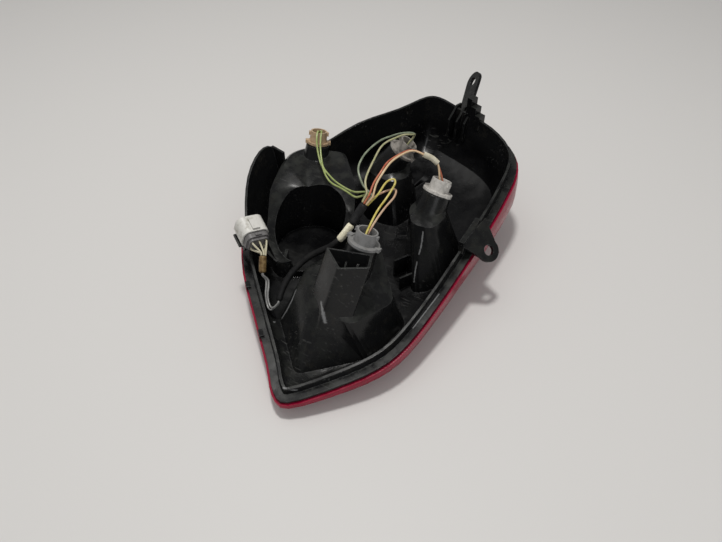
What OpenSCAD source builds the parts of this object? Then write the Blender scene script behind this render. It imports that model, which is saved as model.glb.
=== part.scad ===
// Tail lamp of a hatchback, seen from behind: it lies on its red lens with the moulded
// black housing, the twist-in bulb holders and the wiring facing up.
// +Z points out of the housing's back, +Y along the lamp from its pointed end to its wide end.
// The origin is on the flat middle of the lens face, which is what the lamp lies on.

/* [Outline] */
// Length of the lamp along its lens edge
lamp_length = 426; // [415:1:437]
// Width of the lamp across its lens edge
lamp_width = 265; // [257:1:273]
// Height of the lens edge above the lens face, at the origin
edge_height = 62; // [58:0.5:66]
// Slope of the lens edge, which is lower at the pointed end, in degrees
edge_slope = 10.5; // [9.5:0.25:11]

/* [Lens] */
// Wall of the lens
lens_wall = 3; // [2.4:0.1:3.6]
// How far the lens edge stands out past the housing's flange
lens_overhang = 2; // [1:0.1:3]
// Width of the lens edge that the sealing bead lies on, measured inwards from the housing's flange
lens_land = 6.5; // [5.5:0.1:7.5]
// Extra bulge of the lens at its wide right corner
lens_bulge = 3.5; // [2:0.25:5]
// Thickness of the sealing bead between lens and housing
bead_t = 1.2; // [0.8:0.1:2]
// Width of the sealing bead
bead_w = 4; // [3:0.1:4.5]

/* [Housing] */
// Wall of the housing
wall = 2.6; // [2.2:0.1:3]
// Thickness of the housing's flange over the lens edge
flange_t = 3; // [2.4:0.1:3.6]
// Width of the flange from its edge to the raised lip
flange_w = 8.5; // [8:0.1:9.5]
// Thickness of the raised lip
lip_t = 2.5; // [2:0.1:3]
// Height of the basin's floor above the lens face, at the origin
floor_height = 30; // [28:0.5:32]
// Slope of the basin's floor, in degrees
floor_slope = 4; // [3:0.25:5]
// Radius of the round recess in the far left chamber
recess_r = 39; // [36:0.5:42]
// Height of the recess's floor above the basin's floor
recess_step = 4; // [3:0.5:8]
// How much a holder's neck widens towards its foot
neck_flare = 8; // [4:0.5:10]
// Depth of the pocket in the top of the square tower
pocket_depth = 44; // [36:1:50]
// Thickness of the ribs in that pocket
pocket_rib = 1.8; // [1.2:0.1:2.4]

/* [Fixing tabs] */
// Diameter of the fixing holes
fixing_bore = 11.5; // [9:0.5:13]
// Thickness of the tabs
tab_t = 4; // [3:0.1:5]
// Radius of the tabs' round ends
tab_r = 12.5; // [11:0.5:14]
// Reach of the side tab from the lip to its hole
side_tab_reach = 26; // [24:0.5:30]
// Reach of the top tab from the rim to its hole
top_tab_reach = 40; // [36:1:44]

/* [Bulb holders] */
// Bore of the holder seats in the housing
seat_bore = 24.6; // [24:0.1:26]
// Outer diameter of the holder seats
seat_d = 30; // [29:0.5:31.5]
// Diameter of a holder's flange
holder_flange_d = 31.5; // [30:0.5:33]
// Thickness of a holder's flange
holder_flange_t = 2.6; // [2:0.1:3.5]
// Outer diameter of a holder's cup
cup_d = 20.6; // [19:0.1:22]
// Height of a holder's cup above its flange
cup_h = 12; // [10:0.5:15]
// Wall of a holder's cup
cup_wall = 1.6; // [1.2:0.1:2]
// Length of a holder's plug below the seat
plug_l = 16; // [14:0.5:18]
// Running clearance between a holder's plug and its seat
plug_gap = 0.3; // [0.2:0.05:0.5]
// Thickness of the holder's gasket
gasket_t = 1.6; // [1:0.1:2.4]

// Bore of the small holder's seat over the far left chamber
small_bore = 19; // [18:0.1:20]
// Outer diameter of that seat
small_seat_d = 26; // [25:0.5:28]
// Diameter of the small holder's flange
small_flange_d = 24.5; // [23:0.5:26]
// Outer diameter of the small holder's cup
small_cup_d = 18.5; // [17:0.1:19]

/* [Bulbs] */
// Diameter of a bulb's glass
bulb_d = 18; // [16:0.5:19]
// Length of a bulb's glass below the holder
bulb_l = 30; // [26:0.5:34]
// Diameter of the small bulb's glass
small_bulb_d = 10; // [9:0.5:12]
// Length of the small bulb's glass below the holder
small_bulb_l = 20; // [17:0.5:24]
// Clearance that the fitted parts keep from each other
fit_gap = 0.2; // [0.1:0.05:0.3]

/* [Connector] */
// Width of the connector's white shell
shell_w = 29; // [27:0.5:31]
// Height of the connector's white shell
shell_h = 24; // [22:0.5:26]
// Length of the connector's white shell
shell_l = 20; // [18:0.5:23]
// Wall of the connector's white shell
shell_wall = 1.8; // [1.4:0.1:2.2]
// Length of the grey wire side that stands out of the shell
insert_l = 9; // [8:0.5:12]

/* [Wiring] */
// Diameter of one wire
wire_d = 2.2; // [1.9:0.1:2.5]
// Diameter of the taped bundle
bundle_d = 9; // [8:0.5:10]

/* [Hidden] */

// The outline is drawn at this size and stretched to the lamp's length and width
drawn_length = 426;
drawn_width = 265;
drawn_height = 62;
drawn_slope = 10.5;

// Knots of the lens edge, anticlockwise from the pointed end: across, along, height of the lip
// above the edge, and how far the lip leans out. On the left it grows into a tall wall with an ear.
edge_knots = [
    [37, -214, 5, 0], [68, -183, 6, 0], [95, -148, 7, 0], [108, -114, 8, 0], [115, -59, 8, 0],
    [119, 1, 9, 0], [121, 56, 9, 0], [121, 96, 10, 0], [118, 134, 12, 0], [105, 162, 12, 0],
    [72, 186, 13, 0], [21, 204, 13, 0], [-12, 212, 14, 0], [-33, 201, 16, 0], [-53, 162, 20, 0],
    [-86, 120, 20, 0], [-117, 76, 9, 0], [-136, 38, 7, 2], [-141, 22, 36, 8], [-144, 2, 43, 9],
    [-139, -30, 36, 8], [-122, -68, 20, 4], [-88, -112, 12, 0], [-41, -155, 8, 0], [-2, -190, 6, 0],
    [20, -212, 5, 0]];
knot_count = len(edge_knots);
edge_steps = 3;
edge_count = knot_count * edge_steps;

function unit(v) = v / norm(v);
function mix(a, b, k) = a * (1 - k) + b * k;
function plan(p) = [p[0] * lamp_width / drawn_width, p[1] * lamp_length / drawn_length];
function edge_z(y) = edge_height + tan(edge_slope) * y;
function floor_z(y) = floor_height + tan(floor_slope) * y;
// A point given in plan, with its rise above the lens edge
function over_edge(p) = let (q = plan(p)) [q[0], q[1], edge_z(q[1]) + p[2]];
// A point of a drawn route, which keeps its place over the lens edge when the lamp is stretched
function placed(p) = over_edge([p[0], p[1], p[2] - drawn_height - tan(drawn_slope) * p[1]]);
function placed_all(pts) = [for (p = pts) placed(p)];

// A smooth closed curve through the knots, and its outward direction
function knot(i) = let (k = edge_knots[(i + knot_count) % knot_count], q = plan(k)) [q[0], q[1], k[2], k[3]];
function curve(a, b, c, d, t) = (2 * b + (c - a) * t + (2 * a - 5 * b + 4 * c - d) * t * t
    + (3 * b - a - 3 * c + d) * t * t * t) / 2;
edge = [for (i = [0:knot_count - 1]) for (s = [0:edge_steps - 1])
    curve(knot(i - 1), knot(i), knot(i + 1), knot(i + 2), s / edge_steps)];
function outward(i) = let (a = edge[(i + edge_count - 1) % edge_count], b = edge[(i + 1) % edge_count])
    unit([b[1] - a[1], a[0] - b[0]]);
edge_out = [for (i = [0:edge_count - 1]) outward(i)];

// Point i of the edge moved inwards, at a height over the lens edge
function inset(i, d) = [edge[i][0] - d * edge_out[i][0], edge[i][1] - d * edge_out[i][1]];
function inset_ring(d, rise) = [for (i = [0:edge_count - 1])
    let (q = inset(i, d)) [q[0], q[1], edge_z(q[1]) + rise]];
// The top of the lip, d further in than its outer face
function lip_ring(d) = [for (i = [0:edge_count - 1]) let (q = inset(i, flange_w - edge[i][3] + d))
    [q[0], q[1], edge_z(q[1]) + edge[i][2]]];
// Ring of the basin: drawn in towards the middle by the share s, and k of the way down to the floor
basin_in = flange_w + lip_t;
function basin_ring(s, k, drop) = [for (i = [0:edge_count - 1])
    let (q = inset(i, basin_in) * s) [q[0], q[1], mix(edge_z(q[1]), floor_z(q[1]), k) - drop]];
// Ring of the lens: drawn in by s, at the share k of the lens edge's height, raised by lift
lens_top = -flange_t - bead_t;
function bulge(i) = lens_bulge * pow(max(0, unit([edge[i][0], edge[i][1]]) * unit([1, 1])), 8);
function lens_ring(s, k, swell, skin, lift) = [for (i = [0:edge_count - 1])
    let (q = inset(i, skin - lens_overhang - swell * bulge(i)) * s)
    [q[0], q[1], k * (edge_z(q[1]) + lens_top) + lift]];

// A solid skin through rings with the same number of points, closed with a fan at each end
module loft(rings) {
    m = len(rings[0]);
    n = len(rings);
    first = n * m;
    ends = [for (r = [rings[0], rings[n - 1]]) [for (c = [0:2]) sum([for (p = r) p[c]]) / m]];
    sides = [for (j = [0:n - 2]) for (i = [0:m - 1]) let (a = j * m + i, b = j * m + (i + 1) % m)
        each [[a, a + m, b], [b, a + m, b + m]]];
    lids = [for (i = [0:m - 1]) let (b = (i + 1) % m)
        each [[first, i, b], [first + 1, (n - 1) * m + b, (n - 1) * m + i]]];
    polyhedron(concat([for (r = rings) each r], ends), concat(sides, lids));
}
function reversed(v) = [for (i = [len(v) - 1:-1:0]) v[i]];
function sum(v, i = 0) = i == len(v) ? 0 : v[i] + sum(v, i + 1);

// A polygon in space with its corners rounded off over the length r
function rounded(pts, r, m = 4) = let (n = len(pts)) [for (i = [0:n - 1])
    let (v = pts[i], a = v + unit(pts[(i + n - 1) % n] - v) * r, b = v + unit(pts[(i + 1) % n] - v) * r)
    for (s = [0:m - 1]) let (t = s / (m - 1)) a * (1 - t) * (1 - t) + v * 2 * t * (1 - t) + b * t * t];
// A polygon drawn in towards its middle by a length or by a share, and moved in height
function middle(pts) = [for (c = [0:2]) sum([for (p = pts) p[c]]) / len(pts)];
function drawn_in(pts, d, lift) = let (m = middle(pts)) [for (p = pts)
    let (v = [m[0] - p[0], m[1] - p[1]], w = d * unit(v)) [p[0] + w[0], p[1] + w[1], p[2] + lift]];

function drawn_share(pts, k, lift) = let (m = middle(pts)) [for (p = pts) mix(p, m, k) + [0, 0, lift]];

// A chamber of the housing: foot on the basin's floor, roof outline above, soft edge and crown
chamber_soft = 5;
soft_rise = 2.5;
function on_floor(p) = let (q = plan(p)) [q[0], q[1], floor_z(q[1]) - wall / 2];
module chamber_skin(foot, roof, r, crown, skin, below) {
    low = drawn_in([for (p = foot) on_floor(p)], skin, -below);
    high = drawn_in([for (p = roof) over_edge(p)], skin, -skin);
    soft = drawn_in(high, chamber_soft, soft_rise);
    loft([rounded(low, r), rounded(high, r), rounded(soft, r * 0.8),
        rounded(drawn_share(soft, 0.5, crown), r * 0.4)]);
}

// Near chamber under the stop lamp, the right tower, the far tower and the far left chamber
near_foot = [[-30, -136, 0], [24, -186, 0], [84, -134, 0], [92, -80, 0], [46, -48, 0], [-14, -66, 0]];
near_roof = [[-14, -106, 32], [20, -143, 33], [60, -136, 27], [81, -92, 20], [46, -58, 46], [4, -64, 26]];
right_foot = [[46, -2, 0], [78, -42, 0], [106, -24, 0], [106, 34, 0], [82, 60, 0], [48, 46, 0]];
right_roof = [[45, 6, 35], [56, -10, 32], [78, -8, 32], [85, 10, 33], [78, 28, 31], [50, 27, 33]];
far_foot = [[-52, 56, 0], [-20, 34, 0], [16, 38, 0], [28, 74, 0], [6, 110, 0], [-36, 104, 0]];
far_roof = [[-40, 76, 6], [-28, 58, 8], [0, 56, 8], [12, 74, 6], [2, 98, 4], [-26, 100, 4]];
left_foot = [[-110, -32, 0], [-92, -74, 0], [-60, -92, 0], [-8, -54, 0], [4, -22, 0],
    [-20, 20, 0], [-62, 70, 0], [-104, 62, 0], [-122, 36, 0], [-120, 2, 0]];
left_roof = [[-108, -30, 30], [-88, -70, 4], [-62, -86, -6], [-12, -52, 8], [-6, -20, 26],
    [-26, 18, 28], [-66, 62, 22], [-112, 48, 24], [-120, 28, 29], [-116, 4, 33]];
recess_at = plan([-50, -39]);

// Seats of the bulb holders: place in plan with the rise over the lens edge, lean of the axis,
// the side it leans to, measured from +Y to +X, and the turn of the holder about its axis
stop_seat = [[40, -81, 64], 22, 22, 20];
indicator_seat = [[66, 27, 42], 30, 12, -15];
reverse_seat = [[-6, 86, 24], 35, 60, 60];
tail_seat = [[-93, 46, 36], 16, 0, 35];

// Moves a part into the frame of a holder seat, with +Z out of the seat
module at_seat(seat) {
    translate(over_edge(seat[0])) rotate([0, 0, -seat[2]]) rotate([-seat[1], 0, 0]) children();
}
// A point of a holder's frame, turned about the holder's axis, in the lamp's frame
function from_seat(seat, p) = let (lean = seat[1], side = -seat[2], turn = seat[3],
    x = p[0] * cos(turn) - p[1] * sin(turn), y = p[0] * sin(turn) + p[1] * cos(turn),
    y2 = y * cos(lean) + p[2] * sin(lean))
    over_edge(seat[0]) + [x * cos(side) - y2 * sin(side), x * sin(side) + y2 * cos(side),
        p[2] * cos(lean) - y * sin(lean)];

// Plane of a tab: its hole's centre and its three directions
function frame_of(origin, normal, along) = let (z = unit(normal), x = unit(along - (along * z) * z),
    y = cross(z, x)) [[x[0], y[0], z[0], origin[0]], [x[1], y[1], z[1], origin[1]],
    [x[2], y[2], z[2], origin[2]], [0, 0, 0, 1]];
side_tab_at = over_edge([132, 20, 0]);
side_tab_normal = [0.62, -0.3, 0.72];
side_tab_along = [0.75, 0, -0.66];
top_tab_root = over_edge([25, 197, 9]);
top_tab_along = unit([-0.1, 0.8, 0.6]);
top_tab_normal = [-0.72, -0.49, 0.5];
top_tab_at = top_tab_root + top_tab_along * top_tab_reach;

// LENS
lens_rings = [[1, 1, 0.1], [1, 0.88, 0.6], [0.995, 0.66, 1], [0.965, 0.44, 0.9], [0.905, 0.24, 0.5],
    [0.8, 0.1, 0.1], [0.655, 0.025, 0], [0.44, -0.02, 0]];
module lens_skin() {
    difference() {
        loft(reversed([for (r = lens_rings) lens_ring(r[0], r[1], r[2], 0, 0)]));
        translate([0, 0, -50]) cube([2 * lamp_width, 2 * lamp_length, 100], center = true);
    }
}
module lens_hollow() {
    top = lens_ring(1, 1, 0, lens_land + lens_overhang, 1);
    under = lens_ring(1, 1, 0, lens_land + lens_overhang, -lens_wall);
    walls = [for (k = [1:6]) let (r = lens_rings[k])
        lens_ring(r[0], r[1], r[2], lens_wall, r[1] > 0.5 ? -lens_wall / 2 : lens_wall)];
    loft(reversed(concat([top, under], walls)));
}
reverse_window_at = plan([-34, 44]);
indicator_window_at = plan([32, -8]);
window_size = plan([58, 74]);
module window_prism(at, grow) {
    translate([at[0], at[1], -1]) linear_extrude(lens_wall + 4)
        square([window_size[0] + grow, window_size[1] + grow], center = true);
}
module lens_body() {
    difference() {
        lens_skin();
        lens_hollow();
    }
}
module lens() {
    color("#b3121d", 0.75) difference() {
        lens_body();
        window_prism(reverse_window_at, 0);
        window_prism(indicator_window_at, 0);
    }
}
module window(at) {
    translate([at[0], at[1], lens_wall / 2])
        cube([window_size[0] - fit_gap, window_size[1] - fit_gap, lens_wall], center = true);
}
module reverse_window() {
    color("#e9eef0", 0.6) window(reverse_window_at);
}
module indicator_window() {
    color("#e8a23c", 0.7) window(indicator_window_at);
}
// The bead lies between the lens edge and the housing's flange
module sealing_bead() {
    bead_in = (lens_land - bead_w) / 2;
    color("#1b1b1c") loft_ring([inset_ring(bead_in, -flange_t), inset_ring(bead_in, lens_top),
        inset_ring(bead_in + bead_w, lens_top), inset_ring(bead_in + bead_w, -flange_t)]);
}
// A closed ring whose section runs through the given rings and back to the first
module loft_ring(rings) {
    m = len(rings[0]);
    n = len(rings);
    polyhedron([for (r = rings) each r], [for (j = [0:n - 1]) for (i = [0:m - 1])
        let (k = (j + 1) % n, a = j * m + i, b = j * m + (i + 1) % m, c = k * m + i, d = k * m + (i + 1) % m)
        each [[a, b, c], [b, d, c]]]);
}

// HOUSING
module basin() {
    outer = [inset_ring(0, -flange_t), inset_ring(0, 0), inset_ring(flange_w - 1, -0.6),
        lip_ring(0), lip_ring(lip_t)];
    bowl = [[0.985, 0.3, 0], [0.96, 0.6, 0], [0.92, 0.84, 0], [0.85, 0.96, 0], [0.72, 1, 0]];
    under = [[0.72, 1, wall], [0.86, 0.96, wall], [0.94, 0.84, wall * 0.7], [0.985, 0.6, wall * 0.4],
        [1.01, 0.3, wall * 0.2]];
    shell(concat(outer, [for (r = bowl) basin_ring(r[0], r[1], r[2])]),
        concat([for (r = under) basin_ring(r[0], r[1], r[2])], [inset_ring(flange_w + 1, -flange_t)]));
}
// A shell whose skin runs up over the rings to a fan in the middle, and back under them
module shell(upper, lower) {
    m = len(upper[0]);
    n = len(upper);
    rings = concat(lower, upper);
    total = len(rings);
    mids = [middle(lower[0]), middle(upper[n - 1])];
    sides = [for (j = [0:total - 2]) for (i = [0:m - 1]) let (a = j * m + i, b = j * m + (i + 1) % m)
        each [[a, a + m, b], [b, a + m, b + m]]];
    lids = [for (i = [0:m - 1]) let (b = (i + 1) % m)
        each [[total * m, i, b], [total * m + 1, (total - 1) * m + b, (total - 1) * m + i]]];
    polyhedron(concat([for (r = rings) each r], mids), concat(sides, lids));
}

// A holder's neck, which widens downwards, and the space inside it
module neck(seat, d, length) {
    at_seat(seat) translate([0, 0, -length]) cylinder(d1 = d + neck_flare, d2 = d, h = length, $fn = 48);
}
neck_throat = 18;
module neck_hole(seat, bore, length) {
    at_seat(seat) {
        translate([0, 0, -neck_throat - 1]) cylinder(d = bore, h = neck_throat + 2, $fn = 48);
        translate([0, 0, -length - 3])
            cylinder(d1 = bore + neck_flare, d2 = bore, h = length + 3 - neck_throat, $fn = 48);
    }
}

// Square tower beside the stop lamp's holder, open at its top
tower_top = [[16, -107, 76], [39, -125, 78], [64, -110, 76], [58, -94, 73]];
tower_lean = [0.15, 0.38, 1];
tower_depth = 72;
function tower_ring(d, down) = drawn_in([for (p = tower_top) over_edge(p) - tower_lean * down], d, 0);
module tower() {
    loft([rounded(tower_ring(-2, tower_depth), 3), rounded(tower_ring(0, 0), 2)]);
}
module tower_pocket() {
    loft([rounded(tower_ring(wall, pocket_depth), 1.5), rounded(tower_ring(wall, -2), 1.5)]);
}
module tower_ribs() {
    intersection() {
        tower();
        for (x = [-10, 2, 14]) {
            at = middle(tower_ring(0, pocket_depth / 2 + 8)) + [x, 0, 0];
            translate(at) rotate([0, 0, 20]) cube([pocket_rib, 60, pocket_depth - 4], center = true);
        }
    }
}

// A tab's outline: round end with its bore, and a foot that widens towards the root
module tab_plate(reach, foot_w) {
    translate([0, 0, -tab_t / 2]) linear_extrude(tab_t) {
        circle(r = tab_r, $fn = 64);
        polygon([[0, tab_r], [-reach, foot_w / 2], [-reach, -foot_w / 2], [0, -tab_r]]);
    }
}
module tab_bore() {
    cylinder(d = fixing_bore, h = 4 * tab_t, center = true, $fn = 48);
}
side_tab_foot = 44;
module side_tab() {
    multmatrix(frame_of(side_tab_at, side_tab_normal, side_tab_along))
        tab_plate(side_tab_reach, side_tab_foot);
    side_tab_web();
}
// Upright web between the lip and the side tab's root
module side_tab_web() {
    root = over_edge([109, 21, 2]);
    translate([root[0] - lip_t / 2 - 1, root[1] - side_tab_foot / 2, root[2]])
        cube([lip_t + 3, side_tab_foot, 15]);
}
top_tab_foot = 21;
module top_tab() {
    multmatrix(frame_of(top_tab_at, top_tab_normal, top_tab_along))
        tab_plate(top_tab_reach + 6, top_tab_foot);
    top_tab_ribs();
}
// Ribs that run from the top tab's foot down the inside of the far wall, and its stepped block
module top_tab_ribs() {
    for (x = [14, 24, 34]) {
        at = over_edge([x, 190, 0]);
        translate(at) rotate([0, 0, -20]) rotate([90, 0, 90])
            linear_extrude(2.4, center = true)
                polygon([[-8, -22], [-2, -22], [2, -4], [12, 3], [12, 18], [4, 18], [-8, 2]]);
    }
    for (k = [0:2]) {
        at = over_edge([34 + 7 * k, 190 - 3 * k, 0]);
        translate(at) rotate([0, 0, -20]) translate([-4, -2, 0.5]) cube([7.5, 10, 33.5 - 8 * k]);
    }
}

// Small lugs on the left wall's outer side
lug_at = [20.3, 21.4, 22.4, 23.2];
lug = [5, 9, 4];
module lugs() {
    for (u = lug_at) {
        i = round(u * edge_steps) % edge_count;
        q = inset(i, 1);
        translate([q[0], q[1], edge_z(q[1])]) rotate([0, 0, atan2(edge_out[i][1], edge_out[i][0])])
            cube(lug, center = true);
    }
}
// Ear that stands across the far end of the tall left wall
ear_knot = 18;
ear_w = 20;
module ear() {
    i = ear_knot * edge_steps;
    q = inset(i, flange_w - edge[i][3]);
    translate([q[0], q[1], edge_z(q[1]) + edge[i][2] / 2])
        rotate([0, 0, atan2(edge_out[i][1], edge_out[i][0])])
            translate([-ear_w / 2, 0, 0]) cube([ear_w, lip_t, edge[i][2] + 2], center = true);
}
// Bracket and ledge at the foot of the round recess, and the ribs of the right tower
module small_ribs() {
    bracket = on_floor([-62, -72, 0]);
    translate([bracket[0], bracket[1], bracket[2] + 8]) rotate([0, 0, 25]) cube([3, 16, 24], center = true);
    ledge = on_floor([-74, -80, 0]);
    translate([ledge[0], ledge[1], ledge[2] + 8]) rotate([0, 0, -20]) cube([20, 4, 22], center = true);
    for (p = [[56, -16, 24], [70, -30, 18]]) {
        foot = on_floor([p[0], p[1], 0]);
        translate([foot[0], foot[1], foot[2] + p[2] / 2]) rotate([0, 0, 60])
            cube([30, pocket_rib, p[2]], center = true);
    }
}

module near_chamber(skin, below) {
    chamber_skin(near_foot, near_roof, 8, 8, skin, below);
}
// Outline drawn round a holder's seat, which keeps its own size across on a wider or narrower lamp
function round_seat(seat, pts) = [for (p = pts)
    [seat[0][0] + (p[0] - seat[0][0]) * drawn_width / lamp_width, p[1], p[2]]];
module chambers(skin, below) {
    near_chamber(skin, below);
    chamber_skin(right_foot, right_roof, 7, 3, skin, below);
    chamber_skin(round_seat(reverse_seat, far_foot), round_seat(reverse_seat, far_roof), 7, 2, skin, below);
    chamber_skin(left_foot, left_roof, 9, 6, skin, below);
}
module recess(grow) {
    translate([recess_at[0], recess_at[1], floor_z(recess_at[1]) + recess_step - grow])
        cylinder(r = recess_r + grow, h = 120, $fn = 72);
}
// Moulded skin of the housing, kept together as one body of flat faces
module moulding() {
    resize([0, 0, 0]) difference() {
        union() {
            basin();
            chambers(0, 0);
            tower();
        }
        recess(0);
        difference() {
            chambers(wall, 6);
            recess(wall);
        }
        difference() {
            tower_pocket();
            tower_ribs();
            near_chamber(0, 0);
        }
    }
}
stop_neck = 50;
indicator_neck = 30;
reverse_neck = 36;
tail_neck = 26;
module housing() {
    color("#1d1e20") difference() {
        union() {
            moulding();
            neck(stop_seat, seat_d, stop_neck);
            neck(indicator_seat, seat_d, indicator_neck);
            neck(reverse_seat, seat_d, reverse_neck);
            neck(tail_seat, small_seat_d, tail_neck);
            side_tab();
            top_tab();
            lugs();
            ear();
            small_ribs();
        }
        neck_hole(stop_seat, seat_bore, stop_neck);
        neck_hole(indicator_seat, seat_bore, indicator_neck);
        neck_hole(reverse_seat, seat_bore, reverse_neck);
        neck_hole(tail_seat, small_bore, tail_neck);
        multmatrix(frame_of(side_tab_at, side_tab_normal, side_tab_along)) tab_bore();
        multmatrix(frame_of(top_tab_at, top_tab_normal, top_tab_along)) tab_bore();
        clip_foot_block(fit_gap);
    }
}

// BULB HOLDERS
// Web inside a holder that carries the contact strips, and the strips themselves
web_low = -3;
web_high = 1;
wedge_w = 14;
small_wedge_w = 9;
wedge_t = 4.6;
strip_t = 0.6;
strip_w = 4;
strip_top = 7;
module gasket(seat, bore, flange_d) {
    color("#2a2b2d") at_seat(seat) difference() {
        cylinder(d = flange_d - 2, h = gasket_t, $fn = 48);
        translate([0, 0, -1]) cylinder(d = bore - 2 * plug_gap + 2 * fit_gap, h = gasket_t + 2, $fn = 48);
    }
}
// A twist-in holder: plug in the seat, flange with two grips, open cup with the contacts in it
module holder(seat, bore, flange_d, cup, wedge) {
    at_seat(seat) rotate([0, 0, seat[3]]) difference() {
        union() {
            translate([0, 0, -plug_l])
                cylinder(d = bore - 2 * plug_gap, h = plug_l + gasket_t + 0.5, $fn = 48);
            translate([0, 0, gasket_t]) cylinder(d = flange_d, h = holder_flange_t, $fn = 48);
            translate([0, 0, gasket_t])
                cylinder(d1 = cup + 1.5, d2 = cup, h = holder_flange_t + cup_h, $fn = 48);
            for (a = [0, 180]) rotate([0, 0, a]) {
                translate([flange_d / 2 - 3, -3, gasket_t]) cube([5, 6, holder_flange_t + 1]);
                translate([cup / 2 - 1, -2, gasket_t + holder_flange_t + cup_h - 5]) cube([3, 4, 4]);
            }
        }
        translate([0, 0, web_high]) cylinder(d = cup - 2 * cup_wall, h = 60, $fn = 48);
        translate([-wedge / 2 - 0.6, -wedge_t / 2 - strip_t - 2 * fit_gap, -plug_l - 1])
            cube([wedge + 1.2, wedge_t + 2 * strip_t + 4 * fit_gap, plug_l + 1 + web_low]);
        for (s = [-1, 1]) translate([-strip_w / 2 - fit_gap, s * (wedge_t / 2 + fit_gap + strip_t / 2)
            - strip_t / 2 - fit_gap, web_low - 1])
            cube([strip_w + 2 * fit_gap, strip_t + 2 * fit_gap, web_high - web_low + 2]);
    }
}
module contacts(seat) {
    color("#c9a24a") at_seat(seat) rotate([0, 0, seat[3]]) for (s = [-1, 1])
        translate([-strip_w / 2, s * (wedge_t / 2 + fit_gap + strip_t / 2) - strip_t / 2, -plug_l + 2])
            cube([strip_w, strip_t, plug_l - 2 + strip_top]);
}
// Wedge-base bulb: glass dome, and the flat pinch that sits between the contacts
module bulb(seat, d, length, wedge) {
    at_seat(seat) rotate([0, 0, seat[3]]) union() {
        rotate_extrude($fn = 48) polygon(concat([[0, -plug_l - 0.5], [d / 2 - 2, -plug_l - 0.5],
            [d / 2, -plug_l - 3]],
            [for (a = [0:15:90]) [d / 2 * cos(a), -plug_l - length + d / 2 * (1 - sin(a))]]));
        translate([-wedge / 2, -wedge_t / 2, -plug_l - 1])
            cube([wedge, wedge_t, plug_l + 1 + web_low - fit_gap]);
    }
}
module stop_gasket() {
    gasket(stop_seat, seat_bore, holder_flange_d);
}
module indicator_gasket() {
    gasket(indicator_seat, seat_bore, holder_flange_d);
}
module reverse_gasket() {
    gasket(reverse_seat, seat_bore, holder_flange_d);
}
module tail_gasket() {
    gasket(tail_seat, small_bore, small_flange_d);
}
module stop_holder() {
    color("#85888b") holder(stop_seat, seat_bore, holder_flange_d, cup_d, wedge_w);
}
module indicator_holder() {
    color("#c4c5c4") holder(indicator_seat, seat_bore, holder_flange_d, cup_d, wedge_w);
}
module reverse_holder() {
    color("#b9b3a6") holder(reverse_seat, seat_bore, holder_flange_d, cup_d, wedge_w);
}
module tail_holder() {
    color("#b08d6b") holder(tail_seat, small_bore, small_flange_d, small_cup_d, small_wedge_w);
}
module stop_contacts() {
    contacts(stop_seat);
}
module indicator_contacts() {
    contacts(indicator_seat);
}
module reverse_contacts() {
    contacts(reverse_seat);
}
module tail_contacts() {
    contacts(tail_seat);
}
module stop_bulb() {
    color("#eef2f2", 0.5) bulb(stop_seat, bulb_d, bulb_l, wedge_w);
}
module indicator_bulb() {
    color("#f0a63a", 0.6) bulb(indicator_seat, bulb_d, bulb_l, wedge_w);
}
module reverse_bulb() {
    color("#eef2f2", 0.5) bulb(reverse_seat, bulb_d, bulb_l, wedge_w);
}
module tail_bulb() {
    color("#eef2f2", 0.5) bulb(tail_seat, small_bulb_d, small_bulb_l, small_wedge_w);
}

// CONNECTOR
// It sits on the left wall: its mouth points out over the wall and its wires leave inwards
connector_at = over_edge([-89, -90, 35]);
connector_yaw = -31;
connector_pitch = 16;
connector_roll = -12;
shell_round = 8;
insert_back = 6;
insert_w = shell_w - 2 * shell_wall - 2 * fit_gap;
insert_h = shell_h - 2 * shell_wall - 2 * fit_gap;
pin_bore = 3.6;
pin_d = 1.6;
// Wire holes in the insert's face, seen along the connector
hole_at = [for (y = [-1, 0, 1], z = [-1, 1]) [y * insert_w / 3.4, z * insert_h / 4.4]];
module at_connector() {
    translate(connector_at) rotate([0, connector_pitch, connector_yaw])
        rotate([connector_roll, 0, 0]) children();
}
// A bar along X with rounded long edges
module rounded_bar(l, w, h, r) {
    translate([0, -w / 2 + r, -h / 2]) cube([l, w - 2 * r, h]);
    translate([0, -w / 2, -h / 2 + r]) cube([l, w, h - 2 * r]);
    for (y = [-1, 1], z = [-1, 1]) translate([0, y * (w / 2 - r), z * (h / 2 - r)])
        rotate([0, 90, 0]) cylinder(r = r, h = l, $fn = 48);
}
module connector_shell() {
    color("#e4e3de") at_connector() difference() {
        union() {
            translate([-shell_l / 2, 0, 0]) rounded_bar(shell_l, shell_w, shell_h, shell_round);
            translate([-shell_l / 2 + 3, -4, shell_h / 2 - 0.5]) cube([shell_l - 5, 8, 2.5]);
        }
        translate([-shell_l / 2 - 1, 0, 0])
            rounded_bar(shell_l + 2, shell_w - 2 * shell_wall, shell_h - 2 * shell_wall,
                shell_round - shell_wall);
    }
}
module connector_insert() {
    color("#b4b5b3") at_connector() difference() {
        union() {
            translate([shell_l / 2 - insert_back, 0, 0])
                rounded_bar(insert_back + insert_l - 3, insert_w, insert_h,
                    shell_round - shell_wall - fit_gap);
            translate([shell_l / 2, 0, 0]) rounded_bar(insert_l, insert_w - 4, insert_h - 4, shell_round - 4);
            translate([shell_l / 2 + 2, -3.5, insert_h / 2 - 0.5]) cube([insert_l - 6, 7, 2]);
        }
        for (p = hole_at) translate([0, p[0], p[1]])
            rotate([0, 90, 0]) cylinder(d = pin_bore, h = 60, $fn = 24);
    }
}
module connector_pins() {
    color("#c9a24a") at_connector() for (p = hole_at)
        translate([shell_l / 2 - insert_back - 8, p[0], p[1]]) rotate([0, 90, 0]) {
            cylinder(d = pin_d, h = 9, $fn = 24);
            translate([0, 0, 8]) cylinder(d = pin_bore - 2 * fit_gap, h = 8, $fn = 24);
        }
}
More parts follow.
